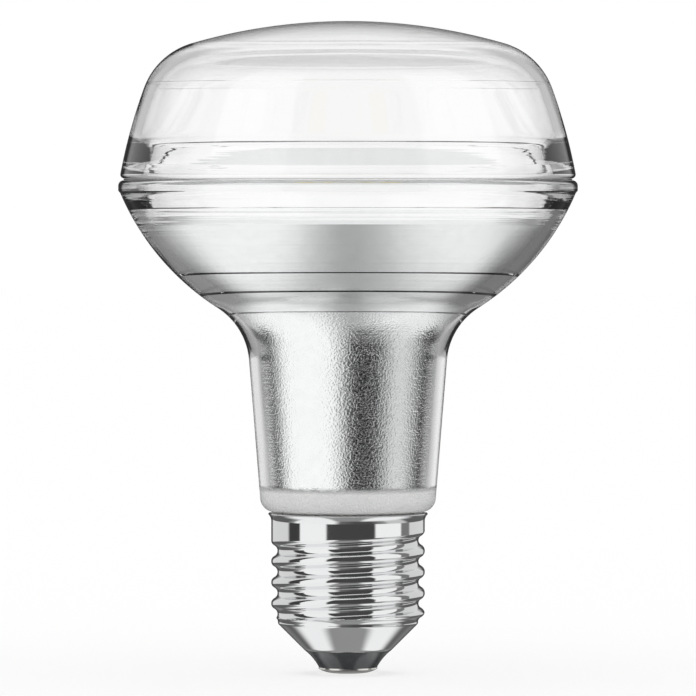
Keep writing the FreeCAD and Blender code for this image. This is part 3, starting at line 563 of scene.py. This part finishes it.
def mirror_material():
    """Bright and ringed in the bowl, stippled and duller in the neck."""
    m = Nodes("mirror layer")
    m.set(Metallic=1.0)
    rings = m.noise(1, 2, m.stretched(12, 12, 2600))
    soft = m.noise(500, 2)
    m.colours(soft, (0.93, 0.94, 0.94), (0.96, 0.965, 0.97))
    m.link(m.by_height(SATIN_TOP, 0.06, 0.22), m.shader.inputs["Roughness"])
    streaks = m.bump(rings, MIRROR_STREAKS, before=m.bump(soft, MIRROR_WAVES))
    grain = m.ramp(m.noise(3000, 1, roughness=0.4), 0.42, 0.72)
    m.bump(m.product(grain, m.by_height(STIPPLE_TOP, 1.0, 0.0)), STIPPLE, before=streaks)
    return m.material


def nickel_material():
    m = Nodes("polished nickel")
    m.set(Metallic=1.0)
    m.colours(m.noise(90, 3), (0.84, 0.845, 0.85), (0.88, 0.885, 0.89))
    m.roughness(m.noise(260, 4), 0.04, 0.09)
    dents = m.bump(m.noise(120, 2), NICKEL_DENTS)
    m.bump(m.noise(1, 3, m.stretched(160, 160, 2400)), NICKEL_STREAKS, before=dents)
    return m.material


def plain_material(name, first, second, roughness, metallic=0.0, scale=400, bump=PLAIN_GRAIN, **more):
    """Fine grain between two colours, with a little relief."""
    m = Nodes(name)
    m.set(Metallic=metallic, **more)
    grain = m.noise(scale, 3)
    m.colours(grain, first, second)
    m.roughness(m.noise(scale / 3, 2), roughness * 0.8, roughness * 1.2)
    m.bump(grain, bump)
    return m.material


def dress(node, material):
    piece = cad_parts[node]
    if not piece.material_slots:
        piece.data.materials.append(material)
    for slot in piece.material_slots:
        slot.material = material


# Finish, the nodes that have it, its two colours, roughness and the rest
METAL = {"metallic": 1.0}
FINISHES = [
    ("cast aluminium", ["heat_spreader"], (0.72, 0.73, 0.74), (0.8, 0.81, 0.82), 0.32,
     {**METAL, "scale": 900}),
    ("white solder resist", ["led_board"], (0.86, 0.86, 0.84), (0.9, 0.9, 0.88), 0.4, {}),
    ("phosphor", ["led_chips"], (0.86, 0.68, 0.14), (0.93, 0.77, 0.2), 0.35, {}),
    ("zinc plate", ["board_screws"], (0.58, 0.58, 0.6), (0.7, 0.7, 0.71), 0.3, METAL),
    ("white plastic", ["board_socket", "driver_sleeve"], (0.85, 0.85, 0.83), (0.9, 0.9, 0.88), 0.45, {}),
    ("black moulding", ["header_block", "bridge_rectifier", "driver_chip"],
     (0.02, 0.02, 0.022), (0.035, 0.035, 0.037), 0.4, {}),
    ("plated pins", ["header_pins"], (0.8, 0.66, 0.36), (0.86, 0.72, 0.42), 0.25, METAL),
    ("green laminate", ["driver_board"], (0.05, 0.22, 0.09), (0.08, 0.3, 0.13), 0.35, {}),
    ("can sleeve", ["bulk_capacitor"], (0.02, 0.024, 0.035), (0.035, 0.04, 0.055), 0.3, {}),
    ("dipped case", ["film_capacitor"], (0.62, 0.4, 0.06), (0.72, 0.48, 0.09), 0.3, {}),
    ("ferrite", ["inductor_core"], (0.03, 0.03, 0.032), (0.05, 0.05, 0.052), 0.6, {}),
    ("copper wire", ["inductor_winding"], (0.6, 0.25, 0.1), (0.72, 0.34, 0.15), 0.3,
     {**METAL, "scale": 1500}),
    ("thick film", ["chip_resistors"], (0.03, 0.03, 0.035), (0.06, 0.06, 0.065), 0.5, {}),
    ("resistor paint", ["fusible_resistor"], (0.18, 0.3, 0.42), (0.24, 0.38, 0.5), 0.45, {}),
    ("tinned wire", ["supply_wire", "shell_wire"], (0.7, 0.7, 0.69), (0.8, 0.8, 0.79), 0.22, METAL),
    ("cement", ["cap_cement"], (0.55, 0.5, 0.42), (0.68, 0.63, 0.55), 0.9, {"bump": ROUGH_GRAIN}),
    ("clear adhesive", ["rim_seal"], (0.93, 0.94, 0.94), (0.97, 0.98, 0.98), 0.15,
     {"Transmission_Weight": 1.0, "IOR": 1.43}),
    ("dark glass", ["cap_insulator"], (0.03, 0.034, 0.036), (0.045, 0.05, 0.052), 0.12, {"Coat_Weight": 0.4}),
    ("contact plate", ["centre_contact"], (0.74, 0.73, 0.7), (0.82, 0.81, 0.78), 0.2,
     {**METAL, "scale": 300}),
    ("solder", ["contact_solder"], (0.5, 0.5, 0.5), (0.62, 0.62, 0.61), 0.35,
     {**METAL, "scale": 900, "bump": ROUGH_GRAIN}),
]

dome = turned("front_glass", dome_section(), "glass_dome")
dome.data.materials.append(dome_material())
body = turned("reflector_glass", body_section(), "reflector_body")
body.data.materials.append(body_material())
coating = turned("mirror_layer", coating_section(), "mirror_coating", shape=ragged)
coating.data.materials.append(mirror_material())
cap = cap_mesh()
cap.data.materials.append(nickel_material())
for name, nodes, first, second, roughness, more in FINISHES:
    finish = plain_material(name, first, second, roughness, **more)
    for node in nodes:
        dress(node, finish)


# Floor, surroundings and camera

def floor_material():
    """Pale grey, which shows to the camera half as a glow, so that it has the background's white."""
    m = Nodes("studio floor")
    m.set(Base_Color=(FLOOR_GREY, FLOOR_GREY, FLOOR_GREY, 1), Roughness=1.0, Specular_IOR_Level=0.0)
    glow = m.add("ShaderNodeEmission")
    glow.inputs["Color"].default_value = (1, 1, 1, 1)
    glow.inputs["Strength"].default_value = FLOOR_GLOW
    share = m.add("ShaderNodeMath", operation="MULTIPLY")
    share.inputs[1].default_value = GLOW_SHARE
    m.link(m.add("ShaderNodeLightPath").outputs["Is Camera Ray"], share.inputs[0])
    mix = m.add("ShaderNodeMixShader")
    m.link(share.outputs[0], mix.inputs["Fac"])
    m.link(m.shader.outputs[0], mix.inputs[1])
    m.link(glow.outputs[0], mix.inputs[2])
    m.link(mix.outputs[0], m.tree.nodes["Material Output"].inputs["Surface"])
    return m.material


floor_mesh = bpy.data.meshes.new("floor")
floor_mesh.from_pydata([(x * FLOOR, y * FLOOR, FLOOR_Z) for x, y in ((-1, -1), (1, -1), (1, 1), (-1, 1))],
                       [], [(0, 1, 2, 3)])
floor_mesh.materials.append(floor_material())
floor = bpy.data.objects.new("floor", floor_mesh)
bpy.context.scene.collection.objects.link(floor)
floor.visible_glossy = False
floor.visible_transmission = False


class Studio:
    """Short hand for the world's node tree. Values are numbers or sockets."""

    def __init__(self, world):
        self.tree = world.node_tree
        way = self.add("ShaderNodeSeparateXYZ")
        self.tree.links.new(self.add("ShaderNodeTexCoord").outputs["Generated"], way.inputs[0])
        self.x, self.y, self.z = way.outputs
        self.side = self.math("ABSOLUTE", self.x)
        # Degrees above the horizon, and radians round from the front
        self.height = self.math("MULTIPLY", self.math("ARCSINE", self.z), 180 / math.pi)
        self.turn = self.math("ARCTAN2", self.x, self.math("MULTIPLY", self.y, -1))
        self.steep = self.math("ABSOLUTE", self.height)
        self.away = self.math("ABSOLUTE", self.turn)
        self.path = self.add("ShaderNodeLightPath").outputs

    def add(self, kind):
        return self.tree.nodes.new(kind)

    def put(self, value, socket):
        if isinstance(value, (int, float)):
            socket.default_value = value
        else:
            self.tree.links.new(value, socket)

    def math(self, operation, first, second=0.0):
        node = self.add("ShaderNodeMath")
        node.operation = operation
        self.put(first, node.inputs[0])
        self.put(second, node.inputs[1])
        return node.outputs[0]

    def step(self, value, low, high, to_low=0.0, to_high=1.0):
        """Soft step from one value to another."""
        node = self.add("ShaderNodeMapRange")
        node.interpolation_type = "SMOOTHSTEP"
        for key, number in (("From Min", low), ("From Max", high), ("To Min", to_low), ("To Max", to_high)):
            node.inputs[key].default_value = number
        self.put(value, node.inputs["Value"])
        return node.outputs["Result"]

    def product(self, first, second):
        return self.math("MULTIPLY", first, second)

    def mix(self, share, first, second):
        """The first value where the share is 0, and the second where it is 1."""
        node = self.add("ShaderNodeMix")
        node.data_type = "FLOAT"
        self.put(share, node.inputs[0])
        self.put(first, node.inputs[2])
        self.put(second, node.inputs[3])
        return node.outputs[0]

    def round_about(self, stops):
        """Brightness by direction, from (degrees from the front, positive to its right, brightness)."""
        node = self.add("ShaderNodeValToRGB")
        ramp = node.color_ramp
        while len(ramp.elements) > 1:
            ramp.elements.remove(ramp.elements[-1])
        for n, (degrees, value) in enumerate(stops):
            place = degrees / 360 + 0.5
            element = ramp.elements[0] if n == 0 else ramp.elements.new(place)
            element.position = place
            element.color = (value, value, value, 1)
        share = self.math("ADD", self.math("DIVIDE", self.turn, 2 * math.pi), 0.5)
        self.put(share, node.inputs["Fac"])
        return node.outputs["Color"]


world = bpy.data.worlds.new("studio")
bpy.context.scene.world = world
world.use_nodes = True
studio = Studio(world)

# What metal reflects: two tall soft boxes beside a dark camera side, a lighter room behind them, a dimmer
# floor, a white ceiling, and a dark strip right behind the lamp that draws its outline.
level = studio.round_about([
    (-180, .75), (-103, .72), (-98, .05), (-78, .05), (-76, .97), (-34, .97), (-31, .06), (40, .06),
    (43, .97), (86, .97), (88, .2), (104, .2), (107, .7), (180, .75)])
lower = studio.round_about([
    (-180, .35), (-150, .12), (-105, .12), (-92, .3), (-85, .95), (-22, .95), (-12, .15), (10, .08),
    (37, .08), (58, .3), (66, .6), (95, .6), (105, .12), (150, .12), (180, .35)])
below = studio.product(studio.step(studio.side, 0.22, 0.36, 0.3, 0.95),
                       studio.step(studio.y, 0.55, 0.75, 1.0, 0.25))
reflected = studio.mix(studio.step(studio.height, -9, -7), lower, level)
reflected = studio.mix(studio.step(studio.height, -50, -32), below, reflected)
reflected = studio.mix(studio.step(studio.height, 50, 62), reflected, CEILING)
outline = studio.product(studio.step(studio.away, 2.65, 2.8), studio.step(studio.steep, 10, 24, 1.0, 0.0))
reflected = studio.mix(outline, reflected, OUTLINE)

# What shows through clear glass: white, but dark at the four diagonals near the horizon and dark high up and
# low down, which draws the glass's outline.
quarter = math.pi / 4
diagonal = studio.math("SUBTRACT", studio.math("PINGPONG", studio.turn, quarter), quarter)
diagonal = studio.step(studio.math("ABSOLUTE", diagonal), 0.16, 0.26, 1.0, 0.0)
corners = studio.product(diagonal, studio.step(studio.steep, 10, 16, 1.0, 0.0))
through = studio.mix(studio.math("MAXIMUM", corners, studio.step(studio.steep, 42, 55)), 1.0, GLASS_EDGE)

# What the mirror behind clear glass reflects, and what shows after a reflection inside the glass.
glass_level = studio.round_about([
    (-180, .85), (-146, .75), (-130, .08), (-110, .05), (-96, .6), (-83, 1), (-20, 1), (-10, .65), (2, .1),
    (12, 0), (36, .05), (46, .25), (60, .65), (72, .7), (86, .52), (99, .22), (110, .03), (122, .03),
    (137, .5), (156, .9), (180, .9)])
glass_lower = studio.round_about([
    (-180, .25), (-155, .3), (-137, .65), (-124, 1), (-30, 1), (-12, .75), (2, .28), (12, .12), (34, .22),
    (60, .7), (100, .9), (124, .75), (138, .4), (150, .2), (180, .2)])
left = studio.step(studio.side, 0.0, 0.5, 0.4, 1.0)
right = studio.step(studio.side, 0.0, 0.62, 0.4, 0.95)
glass_below = studio.mix(studio.step(studio.x, -0.02, 0.02), left, right)
glass_below = studio.product(glass_below, studio.step(studio.y, 0.45, 0.85, 1.0, 0.45))
far = studio.step(studio.away, 1.9, 2.3)
border = studio.mix(far, studio.step(studio.height, -18, -12), studio.step(studio.height, -8, -4))
mirrored = studio.mix(border, glass_lower, glass_level)
mirrored = studio.mix(studio.step(studio.height, -46, -30), glass_below, mirrored)
behind = studio.product(far, studio.step(studio.away, 2.9, 3.0, 1.0, 0.0))
behind = studio.product(behind, studio.step(studio.height, 25, 40, 1.0, 0.0))
rise = studio.mix(far, studio.step(studio.height, 3, 24), studio.step(studio.height, 0, 4))
mirrored = studio.mix(rise, mirrored, studio.mix(behind, CEILING, 0.5))

# The kind of ray picks one of these. The camera and all that the world lights get a plain strength of 1.
in_glass = studio.math("GREATER_THAN", studio.path["Transmission Depth"], 0.5)
reflected = studio.mix(in_glass, reflected, mirrored)
seen = studio.mix(studio.step(studio.path["Glossy Depth"], 0.4, 0.6), through, reflected)
lights = studio.math("GREATER_THAN", studio.path["Diffuse Depth"], 0.5)
plain = studio.math("MAXIMUM", studio.path["Is Camera Ray"], lights)
sky = world.node_tree.nodes["Background"]
studio.put(studio.mix(plain, seen, 1.0), sky.inputs["Strength"])
sky.inputs["Color"].default_value = (1, 1, 1, 1)

camera_data = bpy.data.cameras.new("camera")
camera = bpy.data.objects.new("camera", camera_data)
bpy.context.scene.collection.objects.link(camera)
camera.location = (0, CAMERA_Y, CAMERA_Z)
camera.rotation_euler = (math.radians(90 - CAMERA_DOWN), 0, 0)
camera_data.sensor_width = SENSOR
camera_data.lens = SENSOR * -CAMERA_Y / (PHOTO_HEIGHT * MM)
camera_data.clip_start = 0.05
camera_data.clip_end = 20
bpy.context.scene.camera = camera
bpy.context.scene.view_settings.view_transform = "Standard"
